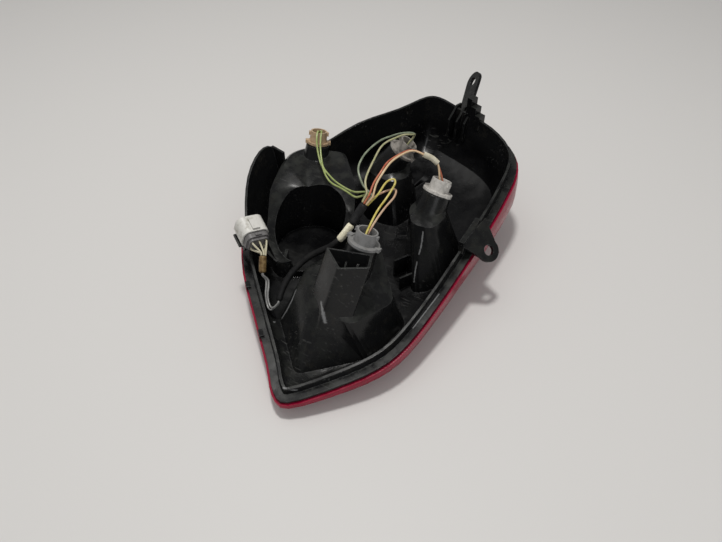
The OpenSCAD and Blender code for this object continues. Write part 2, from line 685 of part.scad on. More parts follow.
// Moulded clip that carries the connector: its foot is pressed into a notch in the wall's top
clip_t = 2.4;
clip_foot_at = [-8, -6];
clip_foot = [14, 3, 12];
module clip_foot_block(grow) {
    at_connector()
        translate([clip_foot_at[0] - grow, clip_foot_at[1] - grow,
            -shell_h / 2 - fit_gap - clip_t - clip_foot[2] - grow])
        cube([clip_foot[0] + 2 * grow, clip_foot[1] + 2 * grow, clip_foot[2] + grow + 0.5]);
}
module connector_clip() {
    color("#232426") {
        at_connector() translate([-8, -shell_w / 2, -shell_h / 2 - fit_gap - clip_t])
            cube([16, shell_w / 2 + 4, clip_t]);
        clip_foot_block(0);
    }
}

// WIRING
// A route is smoothed, and a ring is carried along it without twisting
function smooth(pts, steps = 2) = let (n = len(pts)) concat([for (i = [0:n - 2]) for (s = [0:steps - 1])
    curve(pts[max(i - 1, 0)], pts[i], pts[i + 1], pts[min(i + 2, n - 1)], s / steps)], [pts[n - 1]]);
function heading(pts, i) = unit(pts[min(i + 1, len(pts) - 1)] - pts[max(i - 1, 0)]);
function carry(pts, i = 0, v = [0.31, 0.17, 0.93]) = i == len(pts) ? [] :
    let (t = heading(pts, i), w = unit(v - (v * t) * t)) concat([w], carry(pts, i + 1, w));
// The part of a smoothed route from point first to point last, as a round skin
module run(pts, first, last, d, sides) {
    up = carry(pts);
    loft([for (i = [first:last]) let (t = heading(pts, i), u = up[i], v = cross(t, u))
        [for (k = [0:sides - 1]) pts[i] + (u * cos(k * 360 / sides) + v * sin(k * 360 / sides)) * d / 2]]);
}
module tube(route, d, sides = 8) {
    pts = smooth(route);
    run(pts, 0, len(pts) - 1, d, sides);
}
// Places of the wires where they enter a taped bundle, set round its axis at the radius r
function gather(pts, i, r, angle, back) = let (t = heading(pts, i), u = carry(pts)[i], v = cross(t, u))
    pts[i] + r * (u * cos(angle) + v * sin(angle)) + back * t;

// The bundle runs from the junction down beside the near chamber: tape, pale sleeve, dark trunk
bundle_route = [[20, -43, 126], [17, -50, 118], [14, -58, 109], [11, -65, 102], [7, -71, 95], [0, -76, 87],
    [-12, -83, 79], [-23, -93, 70], [-30, -108, 59], [-31, -121, 50], [-29, -131, 43]];
bundle = smooth(placed_all(bundle_route));
tape_end = 4;
sleeve_end = 8;
trunk_end = len(bundle) - 1;
// The brown tape starts below the connector's wire face
brown_start = [13, 0, -3];
brown_route = [[0, 0, 0], [3, -6, -6], [6, -11, -12]];
brown = smooth([for (p = brown_route) connector_point([shell_l / 2 + insert_l, 0, 0] + brown_start) + p]);
brown_end = len(brown) - 1;

strip_gap = 0.2;
wire_rise = 6;
wire_ring = bundle_d / 2 - 1.4;
function strip_point(seat, s, up) = from_seat(seat, [0, s * (wedge_t / 2 + fit_gap + strip_t / 2), up]);
// A wire leaves its strip, follows its route and enters the bundle at its own place round the axis
function from_holder(seat, s, pts, angle) = concat(
    [strip_point(seat, s, strip_top + strip_gap), strip_point(seat, s, strip_top + wire_rise)], pts,
    [gather(bundle, 0, wire_ring + 1.9, angle, -11), gather(bundle, 0, wire_ring + 0.8, angle, -6),
        gather(bundle, 0, wire_ring, angle, -strip_gap)]);

tail_route_a = placed_all([[-89, 42, 128], [-84, 31, 121], [-70, 16, 107], [-49, 2, 106], [-34, -7, 108],
    [-13, -19, 115], [3, -30, 125]]);
tail_route_b = placed_all([[-85, 44, 128], [-80, 32, 120], [-64, 11, 106], [-43, -8, 107], [-29, -12, 108],
    [-11, -22, 114], [6, -34, 122]]);
reverse_route_a = placed_all([[6, 98, 124], [-4, 82, 130], [-7, 62, 136], [-11, 45, 139], [-11, 18, 142],
    [-8, -1, 143], [-3, -16, 143], [4, -24, 139], [11, -28, 133]]);
reverse_route_b = placed_all([[8, 92, 126], [10, 79, 134], [5, 69, 138], [2, 54, 141], [-1, 40, 143],
    [0, 24, 145], [5, 3, 146], [10, -18, 146], [14, -32, 143]]);
// The two wires of the light grey holder pass through one sleeve
sleeve_knots = placed_all([[60, 37, 139], [53, 36, 144], [45, 32, 148]]);
sleeve_side = [-0.75, 0.92, -0.54];
indicator_route_a = concat([for (p = sleeve_knots) p + sleeve_side],
    placed_all([[36, 31, 150], [30, 25, 151], [26, 11, 152], [23, -4, 152], [24, -18, 150], [22, -29, 143]]));
indicator_route_b = concat([for (p = sleeve_knots) p - sleeve_side],
    placed_all([[38, 28, 152], [33, 22, 153], [29, 8, 154], [27, -6, 154], [27, -20, 151], [25, -30, 143]]));
stop_route_a = placed_all([[37, -50, 128], [39, -37, 134], [40, -26, 139], [40, -18, 143], [37, -16, 145],
    [33, -20, 144], [31, -25, 141], [30, -33, 136]]);
stop_route_b = placed_all([[41, -56, 126], [42, -40, 130], [44, -29, 133], [43, -22, 135], [40, -18, 135],
    [34, -20, 133], [28, -27, 131]]);
module tail_wires() {
    color("#9fb47a") {
        tube(from_holder(tail_seat, -1, tail_route_a, 90), wire_d);
        tube(from_holder(tail_seat, 1, tail_route_b, 135), wire_d);
    }
}
module reverse_wire_grey() {
    color("#9aa596") tube(from_holder(reverse_seat, 1, reverse_route_a, 180), wire_d);
}
module reverse_wire_green() {
    color("#b9bda9") tube(from_holder(reverse_seat, -1, reverse_route_b, 45), wire_d);
}
module indicator_wire_orange() {
    color("#c46a4f") tube(from_holder(indicator_seat, 1, indicator_route_a, 0), wire_d);
}
module indicator_wire_cream() {
    color("#d9cfb4") tube(from_holder(indicator_seat, -1, indicator_route_b, 315), wire_d);
}
module stop_wire_yellow() {
    color("#c9bd55") tube(from_holder(stop_seat, -1, stop_route_a, 270), wire_d);
}
module stop_wire_pink() {
    color("#c79a86") tube(from_holder(stop_seat, 1, stop_route_b, 225), wire_d);
}
module indicator_sleeve() {
    bore = 2 * wire_d + 0.8;
    longer = concat([sleeve_knots[0] * 2 - sleeve_knots[1]], sleeve_knots,
        [sleeve_knots[2] * 2 - sleeve_knots[1]]);
    pts = smooth(longer);
    color("#e3dcc4") difference() {
        run(pts, 2, 6, bore + 1, 10);
        run(pts, 1, 7, bore, 10);
    }
}
module bundle_tape() {
    color("#26272a") run(bundle, 0, tape_end, bundle_d, 12);
}
module bundle_sleeve() {
    color("#e8e2c8") run(bundle, tape_end, sleeve_end, bundle_d - 1, 12);
}
module trunk() {
    color("#202124") run(bundle, sleeve_end, trunk_end, bundle_d - 2, 10);
}
module brown_tape() {
    color("#6b5136") run(brown, 0, brown_end, bundle_d - 1, 12);
}
// Five of the holes hold a wire; each is listed with its place round the tape's axis
wire_slots = [[0, 130], [1, 60], [3, 0], [4, 230], [5, 300]];
wire_in = 2;
module connector_wires() {
    color("#c9c3a0") for (slot = wire_slots) {
        at = hole_at[slot[0]];
        tube(concat([for (x = [wire_in, insert_l - 1, insert_l + 2])
            connector_point([shell_l / 2 + x, at[0], at[1]])],
            [gather(brown, 0, 2.6, slot[1], -3), gather(brown, 0, 2.6, slot[1], -strip_gap)]), wire_d);
    }
}
function connector_point(p) = let (r = connector_roll, a = connector_pitch, b = connector_yaw,
    y = p[1] * cos(r) - p[2] * sin(r), z = p[1] * sin(r) + p[2] * cos(r),
    x2 = p[0] * cos(a) + z * sin(a), z2 = z * cos(a) - p[0] * sin(a))
    connector_at + [x2 * cos(b) - y * sin(b), x2 * sin(b) + y * cos(b), z2];
// They hang down the groove beside the near chamber, one loop inside the next, and turn back
// into the trunk's end
leg_route = [[-53, -118, 49], [-47, -129, 43]];
leg_low = [[-40, -137, 38], [-33, -141, 36]];
leg_step = [2.4, 0.7, 0.7];
leg_low_step = [0.8, 1.8, 1.8];
module leg_wires() {
    color("#7d7f7f") for (k = [0:1])
        tube(concat([for (back = [strip_gap, 3]) gather(brown, brown_end, 1.8, 180 - k * 180, back)],
            [for (p = leg_route) placed(p) + k * leg_step], [for (p = leg_low) placed(p) + k * leg_low_step],
            [for (back = [3, strip_gap]) gather(bundle, trunk_end, 1.8, 180 - k * 180, back)]), wire_d);
}

lens();
reverse_window();
indicator_window();
sealing_bead();
housing();
stop_gasket();
indicator_gasket();
reverse_gasket();
tail_gasket();
stop_holder();
indicator_holder();
reverse_holder();
tail_holder();
stop_contacts();
indicator_contacts();
reverse_contacts();
tail_contacts();
stop_bulb();
indicator_bulb();
reverse_bulb();
tail_bulb();
connector_shell();
connector_insert();
connector_pins();
connector_clip();
tail_wires();
reverse_wire_grey();
reverse_wire_green();
indicator_wire_orange();
indicator_wire_cream();
stop_wire_yellow();
stop_wire_pink();
indicator_sleeve();
bundle_tape();
bundle_sleeve();
trunk();
brown_tape();
connector_wires();
leg_wires();
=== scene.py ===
import math

import bpy
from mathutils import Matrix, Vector

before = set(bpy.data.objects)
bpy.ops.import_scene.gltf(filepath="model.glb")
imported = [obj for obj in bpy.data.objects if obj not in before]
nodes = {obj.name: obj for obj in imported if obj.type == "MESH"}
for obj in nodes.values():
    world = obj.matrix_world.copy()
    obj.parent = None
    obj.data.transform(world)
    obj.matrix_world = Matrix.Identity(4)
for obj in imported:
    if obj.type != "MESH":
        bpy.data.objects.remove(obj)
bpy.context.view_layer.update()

# TABLE, LIGHTS AND CAMERA
# The lamp lies on a plain pale table top, which is painted and a little glossy, under soft
# light. It is looked at from the near right-hand side, 45 degrees above the table.
scene = bpy.context.scene
scene.view_settings.view_transform = "Standard"

looked_at = Vector((0.020, -0.050, 0.040))
view_azimuth = math.radians(30)
view_elevation = math.radians(45)
view_distance = 0.640
towards_camera = Vector((
    math.sin(view_azimuth) * math.cos(view_elevation),
    -math.cos(view_azimuth) * math.cos(view_elevation),
    math.sin(view_elevation),
))


def turned_along(direction):
    """The rotation of a camera or a light that points that way."""
    return direction.to_track_quat("-Z", "Y").to_euler()


camera_data = bpy.data.cameras.new("photo_camera")
camera_data.sensor_width = 36
camera_data.lens = 29.92
camera_data.clip_start = 0.01
camera = bpy.data.objects.new("photo_camera", camera_data)
camera.location = looked_at + towards_camera * view_distance
camera.rotation_euler = turned_along(-towards_camera)
scene.collection.objects.link(camera)
scene.camera = camera


def soft_light(name, place, width, power, colour):
    """A round area light that points at the lamp."""
    data = bpy.data.lights.new(name, "AREA")
    data.shape = "DISK"
    data.size = width
    data.energy = power
    data.color = colour
    light = bpy.data.objects.new(name, data)
    light.location = place
    light.rotation_euler = turned_along(looked_at - Vector(place))
    scene.collection.objects.link(light)


soft_light("window_light", (-0.16, 0.06, 2.0), width=0.24, power=21.0, colour=(1.0, 0.985, 0.96))
soft_light("ceiling_light", (-0.7, 0.1, 1.9), width=1.4, power=4.5, colour=(1.0, 0.99, 0.97))
soft_light("near_right_light", (1.0, -1.0, 1.1), width=1.0, power=4.5, colour=(0.97, 0.98, 1.0))


def feed(tree, socket, value):
    """Links another node's output to a socket, or gives the socket a plain value."""
    if isinstance(value, bpy.types.NodeSocket):
        tree.links.new(value, socket)
    else:
        socket.default_value = value


def reckon(tree, operation, *values):
    """The result of a math node that is fed by sockets or numbers."""
    made = tree.nodes.new("ShaderNodeMath")
    made.operation = operation
    for socket, value in zip(made.inputs, values):
        feed(tree, socket, value)
    return made.outputs[0]


# The room lights the lamp evenly. Seen directly, in a gloss or through glass it is a plain grey.
room = bpy.data.worlds.new("room")
scene.world = room
room.use_nodes = True
room_tree = room.node_tree
room_tree.nodes.clear()


def background(colour, strength):
    """A shader for the room's walls."""
    made = room_tree.nodes.new("ShaderNodeBackground")
    made.inputs["Color"].default_value = (*colour, 1)
    made.inputs["Strength"].default_value = strength
    return made.outputs[0]


room_light = background((1.0, 0.99, 0.975), strength=0.33)
room_seen = background((0.30, 0.30, 0.30), strength=0.7)
ray = room_tree.nodes.new("ShaderNodeLightPath")
seen_directly = reckon(
    room_tree, "MAXIMUM", ray.outputs["Is Camera Ray"], ray.outputs["Is Glossy Ray"])
seen_at_all = reckon(room_tree, "MAXIMUM", seen_directly, ray.outputs["Is Transmission Ray"])
room_mix = room_tree.nodes.new("ShaderNodeMixShader")
for socket, value in zip(room_mix.inputs, (seen_at_all, room_light, room_seen)):
    feed(room_tree, socket, value)
room_out = room_tree.nodes.new("ShaderNodeOutputWorld")
room_tree.links.new(room_mix.outputs[0], room_out.inputs["Surface"])

table_half = 7.0
table_corners = [(table_half * x, table_half * y, 0)
                 for x, y in ((-1, -1), (1, -1), (1, 1), (-1, 1))]
table_mesh = bpy.data.meshes.new("table_top")
table_mesh.from_pydata(table_corners, [], [(0, 1, 2, 3)])
table_top = bpy.data.objects.new("table_top", table_mesh)
scene.collection.objects.link(table_top)
table_paint = bpy.data.materials.new("table_paint")
table_paint.use_nodes = True
table_shader = table_paint.node_tree.nodes["Principled BSDF"]
table_shader.inputs["Base Color"].default_value = (0.635, 0.625, 0.612, 1)
table_shader.inputs["Roughness"].default_value = 0.55
table_shader.inputs["Specular IOR Level"].default_value = 0.25
table_mesh.materials.append(table_paint)


# LENS
# The red lens is one injection-moulded shell of red plastic, glossy outside and finely fluted.
# The lamp lies on its flat front, and a bead of sealant fixes its edge to the housing.
class Finish:
    """A material that is built up from shader nodes, with its place on the piece to start from."""

    def __init__(self, name):
        self.material = bpy.data.materials.new(name)
        self.material.use_nodes = True
        self.tree = self.material.node_tree
        self.shader = self.tree.nodes["Principled BSDF"]
        self.place = self.tree.nodes.new("ShaderNodeTexCoord").outputs["Object"]

    def fill(self, made, inputs):
        """Feeds sockets by name, with _ written for a space."""
        for name, value in inputs.items():
            feed(self.tree, made.inputs[name.replace("_", " ")], value)

    def node(self, kind, **inputs):
        made = self.tree.nodes.new(kind)
        self.fill(made, inputs)
        return made

    def texture(self, kind, **inputs):
        """A texture node that lies on the piece by the piece's own coordinates."""
        return self.node(kind, Vector=self.place, **inputs)

    def clouds(self, scale, detail):
        """Noise that changes from 0 to 1 over the surface."""
        made = self.texture("ShaderNodeTexNoise", Scale=scale, Detail=detail)
        return made.outputs["Fac"]

    def effect(self, group, **inputs):
        """The mask of an effect group."""
        made = self.tree.nodes.new("ShaderNodeGroup")
        made.node_tree = group
        self.fill(made, {"Place": self.place, **inputs})
        return made.outputs["Mask"]

    def blend(self, mask, first, second):
        """The first colour where the mask is 0 and the second where it is 1."""
        made = self.tree.nodes.new("ShaderNodeMix")
        made.data_type = "RGBA"
        # Its sockets for numbers, vectors and colours follow one another, so A and B are 6 and 7
        share, colour_a, colour_b = made.inputs[0], made.inputs[6], made.inputs[7]
        for socket, value in ((share, mask), (colour_a, first), (colour_b, second)):
            feed(self.tree, socket, (*value, 1) if isinstance(value, tuple) else value)
        return made.outputs[2]

    def between(self, mask, low, high):
        """The low number where the mask is 0 and the high one where it is 1."""
        made = self.node("ShaderNodeMapRange", Value=mask, To_Min=low, To_Max=high)
        return made.outputs["Result"]

    def bump(self, height, strength, distance, under=None):
        """The normal of a surface that rises with the height, over another normal if given."""
        made = self.node("ShaderNodeBump", Height=height, Strength=strength, Distance=distance)
        if under is not None:
            feed(self.tree, made.inputs["Normal"], under)
        return made.outputs["Normal"]

    def rounded(self, radius):
        """The normal of a surface whose sharp corners are rounded a little."""
        made = self.node("ShaderNodeBevel", Radius=radius)
        made.samples = 4
        return made.outputs["Normal"]

    def set(self, **inputs):
        """Fills the sockets of the Principled shader itself."""
        self.fill(self.shader, inputs)

    def put_on(self, *names):
        """Gives the finish to pieces of the frame, in place of what they had."""
        for name in names:
            mesh = nodes[name].data
            mesh.materials.clear()
            mesh.materials.append(self.material)


origin = (0.0, 0.0, 0.0)


def effect_group(name, **inputs):
    """A shader node group that puts out one mask: its tree, its inputs and where the mask goes."""
    tree = bpy.data.node_groups.new(name, "ShaderNodeTree")
    for label, value in inputs.items():
        kind = "NodeSocketFloat" if isinstance(value, float) else "NodeSocketVector"
        socket = tree.interface.new_socket(name=label, in_out="INPUT", socket_type=kind)
        socket.default_value = value
    tree.interface.new_socket(name="Mask", in_out="OUTPUT", socket_type="NodeSocketFloat")
    given, put_out = tree.nodes.new("NodeGroupInput"), tree.nodes.new("NodeGroupOutput")
    return tree, given.outputs, put_out.inputs["Mask"]


def clouds(tree, place, scale, detail, roughness=0.5):
    """The same noise inside an effect group, where sockets place and scale it."""
    made = tree.nodes.new("ShaderNodeTexNoise")
    feed(tree, made.inputs["Vector"], place)
    feed(tree, made.inputs["Scale"], scale)
    made.inputs["Detail"].default_value = detail
    made.inputs["Roughness"].default_value = roughness
    return made.outputs["Fac"]


def ramp(tree, value, none_at, full_at, kind="LINEAR"):
    """A mask that goes from 0 to 1 as the value goes from none_at to full_at."""
    made = tree.nodes.new("ShaderNodeMapRange")
    made.interpolation_type = kind
    feed(tree, made.inputs["Value"], value)
    feed(tree, made.inputs["From Min"], none_at)
    feed(tree, made.inputs["From Max"], full_at)
    return made.outputs["Result"]


# Blotches: a mask of cloudy patches with soft edges, for dirt, fading and uneven gloss
blotches, given, mask = effect_group(
    "blotches", Place=origin, Scale=40.0, Cover=0.5, Softness=0.15)
patches = clouds(blotches, given["Place"], given["Scale"], detail=6.0, roughness=0.62)
half_at = reckon(blotches, "SUBTRACT", 1.0, given["Cover"])
none_at = reckon(blotches, "SUBTRACT", half_at, given["Softness"])
full_at = reckon(blotches, "ADD", half_at, given["Softness"])
blotches.links.new(ramp(blotches, patches, none_at, full_at, kind="SMOOTHSTEP"), mask)

# Moulded pieces are shaded smooth over curves and crisp along edges. Points this close are one.
crisp_from = math.radians(32)
weld_distance = 0.00001
smooth_moulding = bpy.data.node_groups.new("smooth_moulding", "GeometryNodeTree")
for side in ("INPUT", "OUTPUT"):
    smooth_moulding.interface.new_socket(
        name="Geometry", in_out=side, socket_type="NodeSocketGeometry")
as_built = smooth_moulding.nodes.new("NodeGroupInput")
shaded = smooth_moulding.nodes.new("NodeGroupOutput")
weld = smooth_moulding.nodes.new("GeometryNodeMergeByDistance")
weld.inputs["Distance"].default_value = weld_distance
smooth_faces = smooth_moulding.nodes.new("GeometryNodeSetShadeSmooth")
crisp_edges = smooth_moulding.nodes.new("GeometryNodeSetShadeSmooth")
crisp_edges.domain = "EDGE"
crisp_edges.inputs["Shade Smooth"].default_value = False
edge_angle = smooth_moulding.nodes.new("GeometryNodeInputMeshEdgeAngle")
sharper = smooth_moulding.nodes.new("FunctionNodeCompare")
sharper.inputs["B"].default_value = crisp_from
for output, socket in (
        (as_built.outputs[0], weld.inputs["Geometry"]),
        (weld.outputs["Geometry"], smooth_faces.inputs["Geometry"]),
        (smooth_faces.outputs["Geometry"], crisp_edges.inputs["Geometry"]),
        (edge_angle.outputs["Unsigned Angle"], sharper.inputs["A"]),
        (sharper.outputs["Result"], crisp_edges.inputs["Selection"]),
        (crisp_edges.outputs["Geometry"], shaded.inputs[0])):
    smooth_moulding.links.new(output, socket)


def shade_moulded(*names):
    """Shades moulded pieces smooth with crisp edges."""
    for name in names:
        modifier = nodes[name].modifiers.new("smooth", "NODES")
        modifier.node_group = smooth_moulding


lens_red, lens_red_pale = (0.25, 0.003, 0.024), (0.33, 0.007, 0.040)
lens = Finish("red_lens_plastic")
haze = lens.effect(blotches, Scale=60.0, Cover=0.5, Softness=0.3)
flutes = lens.texture("ShaderNodeTexWave", Scale=110.0)
flutes.bands_direction = "Y"
lens.set(
    Base_Color=lens.blend(haze, lens_red, lens_red_pale),
    Roughness=lens.between(haze, low=0.12, high=0.28),
    Transmission_Weight=0.15,
    IOR=1.49,
    Specular_IOR_Level=0.1,
    Normal=lens.bump(flutes.outputs["Fac"], strength=0.08, distance=0.0006))
lens.put_on("lens")
shade_moulded("lens")


# WINDOWS
# The reversing lamp's window is clear plastic and the indicator's is amber. Both are moulded
# panes welded into the lens face, which the lamp lies on, so they show only from the front.
def toned(colour, gain, lift=0.0):
    """A colour made lighter or darker by a gain, and paler by a lift."""
    return tuple(min(1.0, gain * part + lift) for part in colour)


window_colours = {"reverse_window": (0.86, 0.88, 0.89), "indicator_window": (0.80, 0.30, 0.03)}
for window, colour in window_colours.items():
    pane = Finish(window + "_plastic")
    prisms = pane.texture("ShaderNodeTexVoronoi", Scale=260.0)
    haze = pane.effect(blotches, Scale=50.0, Cover=0.45, Softness=0.3)
    pane.set(
        Base_Color=pane.blend(haze, colour, toned(colour, gain=0.9, lift=0.05)),
        Roughness=pane.between(haze, low=0.08, high=0.2),
        Transmission_Weight=0.5,
        IOR=1.49,
        Normal=pane.bump(prisms.outputs["Distance"], strength=0.3, distance=0.0005))
    pane.put_on(window)
    shade_moulded(window)

# SEALING BEAD
# The bead is a ring of black butyl sealant, a soft and tacky rubber. It is laid round the lens
# edge, and the housing's flange is pressed into it.
butyl_black, butyl_grey = (0.012, 0.012, 0.013), (0.03, 0.03, 0.028)
bead = Finish("black_butyl")
lumps = bead.effect(blotches, Scale=180.0, Cover=0.5, Softness=0.3)
bead.set(
    Base_Color=bead.blend(lumps, butyl_black, butyl_grey),
    Roughness=bead.between(lumps, low=0.45, high=0.7),
    Normal=bead.bump(lumps, strength=0.4, distance=0.0004))
bead.put_on("sealing_bead")
shade_moulded("sealing_bead")


# HOUSING
# The housing is one injection moulding in black plastic, a little glossy, years old. Its edges
# are rubbed grey, partly as painted highlights, dust lies on what faces up, and scuffs run over
# it.
# Bright lines along its ridges are painted highlights, partly scrapes, and it is painted near
# black deep inside as painted shade.
def reckon_vector(tree, operation, *values):
    """The result of a vector math node that is fed by sockets or numbers."""
    made = tree.nodes.new("ShaderNodeVectorMath")
    made.operation = operation
    for socket, value in zip(made.inputs, values):
        feed(tree, socket, value)
    return made.outputs["Value" if operation in ("DOT_PRODUCT", "LENGTH") else "Vector"]


# Rubbed edges: how far the surface turns within a small distance, broken up by noise
rubbed, given, mask = effect_group(
    "rubbed_edges", Place=origin, Width=0.0012, Breakup=160.0, Amount=1.0)
round_it = rubbed.nodes.new("ShaderNodeBevel")
round_it.samples = 6
rubbed.links.new(given["Width"], round_it.inputs["Radius"])
as_it_is = rubbed.nodes.new("ShaderNodeNewGeometry")
alike = reckon_vector(
    rubbed, "DOT_PRODUCT", round_it.outputs["Normal"], as_it_is.outputs["Normal"])
turn = ramp(rubbed, alike, none_at=0.985, full_at=0.86)
noise = clouds(rubbed, given["Place"], given["Breakup"], detail=5.0)
gaps = ramp(rubbed, noise, none_at=0.38, full_at=0.62)
broken = reckon(rubbed, "MULTIPLY", turn, gaps)
rubbed.links.new(reckon(rubbed, "MULTIPLY", broken, given["Amount"]), mask)

# Settled dust: more where the surface faces up, in cloudy patches
dusty, given, mask = effect_group("settled_dust", Place=origin, Scale=45.0, Amount=0.6)
as_it_is = dusty.nodes.new("ShaderNodeNewGeometry")
parts = dusty.nodes.new("ShaderNodeSeparateXYZ")
dusty.links.new(as_it_is.outputs["Normal"], parts.inputs[0])
facing_up = ramp(dusty, parts.outputs["Z"], none_at=0.15, full_at=0.98)
noise = clouds(dusty, given["Place"], given["Scale"], detail=8.0, roughness=0.65)
patches = ramp(dusty, noise, none_at=0.42, full_at=0.68)
lying = reckon(dusty, "MULTIPLY", facing_up, patches)
dusty.links.new(reckon(dusty, "MULTIPLY", lying, given["Amount"]), mask)

# Scuffs: thin streaks that run one way, in patches
scuffed, given, mask = effect_group(
    "scuffs", Place=origin, Turn=(0.0, 0.0, 0.6), Fineness=60.0, Patches=22.0, Amount=0.6)
stretched = scuffed.nodes.new("ShaderNodeMapping")
stretched.inputs["Scale"].default_value = (1.0, 14.0, 6.0)
scuffed.links.new(given["Place"], stretched.inputs["Vector"])
scuffed.links.new(given["Turn"], stretched.inputs["Rotation"])
noise = clouds(scuffed, stretched.outputs["Vector"], given["Fineness"], detail=3.0)
streaks = ramp(scuffed, noise, none_at=0.60, full_at=0.70)
noise = clouds(scuffed, given["Place"], given["Patches"], detail=2.0)
patches = ramp(scuffed, noise, none_at=0.52, full_at=0.64)
marked = reckon(scuffed, "MULTIPLY", streaks, patches)
scuffed.links.new(reckon(scuffed, "MULTIPLY", marked, given["Amount"]), mask)

# Depth: how far a place lies below the plane of the lens edge, which rises towards the wide end.
# The housing is painted darker with it, as painted shade deep inside.
edge_slope = 0.1853
edge_height = 0.062
deep, given, mask = effect_group("depth_below_edge", Place=origin, Shallow=0.004, Deep=0.03)
along_slope = reckon_vector(deep, "DOT_PRODUCT", given["Place"], (0.0, edge_slope, -1.0))
depth = reckon(deep, "ADD", along_slope, edge_height)
deep.links.new(ramp(deep, depth, given["Shallow"], given["Deep"], kind="SMOOTHSTEP"), mask)

# Highlight line: a thin bright line painted along a ridge, from one point to another, broken up
# by noise. It is a painted highlight, partly a scrape.
highlight_line, given, mask = effect_group(
    "painted_highlight_line", Place=origin, Start=origin, Run=origin, Width=0.001, Breakup=650.0)
from_start = reckon_vector(highlight_line, "SUBTRACT", given["Place"], given["Start"])
along = reckon_vector(highlight_line, "DOT_PRODUCT", from_start, given["Run"])
whole = reckon_vector(highlight_line, "DOT_PRODUCT", given["Run"], given["Run"])
share = reckon(highlight_line, "DIVIDE", along, whole)
share.node.use_clamp = True
nearest = highlight_line.nodes.new("ShaderNodeVectorMath")
nearest.operation = "SCALE"
highlight_line.links.new(given["Run"], nearest.inputs[0])
highlight_line.links.new(share, nearest.inputs["Scale"])
aside = reckon_vector(highlight_line, "SUBTRACT", from_start, nearest.outputs["Vector"])
distance = reckon_vector(highlight_line, "LENGTH", aside)
noise = clouds(highlight_line, given["Place"], given["Breakup"], detail=4.0)
about_half_width = reckon(highlight_line, "MULTIPLY", noise, given["Width"])
ragged_width = reckon(highlight_line, "MULTIPLY", about_half_width, 2.0)
widths_off = reckon(highlight_line, "DIVIDE", distance, ragged_width)
highlight_line.links.new(ramp(highlight_line, widths_off, none_at=1.7, full_at=0.2, kind="SMOOTHSTEP"), mask)

# Ridges with painted highlights, partly scraped bright: the width of each and the points that it
# runs through, in metres
highlit_ridges = {
    "near_chamber": (0.0009, [
        (-0.0145, -0.1197, 0.0563), (-0.0156, -0.1264, 0.0473), (-0.0187, -0.1324, 0.0363),
        (-0.0230, -0.1367, 0.0257), (-0.0270, -0.1450, 0.0256)]),
    "square_tower": (0.0015, [
        (0.0274, -0.1371, 0.0771), (0.0305, -0.1405, 0.0751), (0.0328, -0.1426, 0.0714),
        (0.0343, -0.1436, 0.0662), (0.0355, -0.1442, 0.0618)]),
    "right_tower": (0.0007, [
        (0.0703, -0.0104, 0.0872), (0.0712, -0.0131, 0.0787), (0.0722, -0.0164, 0.0720),
        (0.0724, -0.0205, 0.0655)]),
    "right_tower_foot": (0.0006, [
        (0.0726, -0.0245, 0.0574), (0.0735, -0.0296, 0.0476), (0.0753, -0.0341, 0.0375)]),
    "flange_tip": (0.0009, [(0.0282, -0.2069, 0.0286), (0.0400, -0.2020, 0.0270)]),
    "lip": (0.0005, [(0.1100, -0.0499, 0.0523), (0.1044, -0.0956, 0.0437)]),
}

# The moulding is painted darkest deep inside, as painted shade in its recesses, and splashed and
# dusty higher up. Scuffs, rubbed edges that are partly painted highlights, and painted highlights
# along ridges, partly scrapes, lie over both.
deep_shade_black, deep_shade_black_pale = (0.0018, 0.0019, 0.0023), (0.0034, 0.0034, 0.0037)
splashed, splashed_pale = (0.0075, 0.0077, 0.0082), (0.0130, 0.0126, 0.0116)
dust_grey = (0.026, 0.028, 0.0235)
scuff_grey = (0.11, 0.11, 0.105)
rubbed_and_highlight_grey = (0.11, 0.112, 0.112)
ridge_highlight_grey = (0.19, 0.192, 0.195)
dust_dulls_by = 0.4

moulding = Finish("black_moulding")
# How deep a place lies below the lens edge, which sets the painted shade deep inside
depth = moulding.effect(deep, Shallow=0.003, Deep=0.026)
gloss_patches = moulding.effect(blotches, Scale=24.0, Cover=0.5, Softness=0.25)
splashes = moulding.effect(blotches, Scale=75.0, Cover=0.40, Softness=0.05)
# Rubbed edges, which are partly painted highlights along the edges
edges_rubbed_and_highlit = moulding.effect(rubbed, Width=0.0012, Breakup=150.0, Amount=0.5)
dust = moulding.effect(dusty, Scale=55.0, Amount=0.65)
scuffs = moulding.effect(
    scuffed, Turn=(0.3, 0.2, 0.9), Fineness=45.0, Patches=20.0, Amount=0.35)
black = moulding.blend(gloss_patches, deep_shade_black, deep_shade_black_pale)
grimy = moulding.blend(splashes, splashed, splashed_pale)
powdered = moulding.blend(dust, grimy, dust_grey)
# Painted shade: deep inside the colour goes to near black
shaded_deep_inside = moulding.blend(depth, powdered, black)
scratched = moulding.blend(scuffs, shaded_deep_inside, scuff_grey)
worn_and_highlit = moulding.blend(edges_rubbed_and_highlit, scratched, rubbed_and_highlight_grey)
# A painted highlight, partly a scrape, along each ridge
for width, points in highlit_ridges.values():
    for start, end in zip(points, points[1:]):
        run = tuple(b - a for a, b in zip(start, end))
        ridge = moulding.effect(highlight_line, Start=start, Run=run, Width=width)
        worn_and_highlit = moulding.blend(ridge, worn_and_highlit, ridge_highlight_grey)
waviness = moulding.clouds(scale=28.0, detail=2.0)
grain = moulding.clouds(scale=900.0, detail=3.0)
soft_corners = moulding.rounded(radius=0.0006)
wavy = moulding.bump(waviness, strength=0.35, distance=0.004, under=soft_corners)
gloss = moulding.between(gloss_patches, low=0.15, high=0.27)
moulding.set(
    Base_Color=worn_and_highlit,
    Roughness=reckon(moulding.tree, "MULTIPLY_ADD", dust, dust_dulls_by, gloss),
    Specular_IOR_Level=0.27,
    Normal=moulding.bump(grain, strength=0.12, distance=0.0003, under=wavy))
moulding.put_on("housing")
shade_moulded("housing")

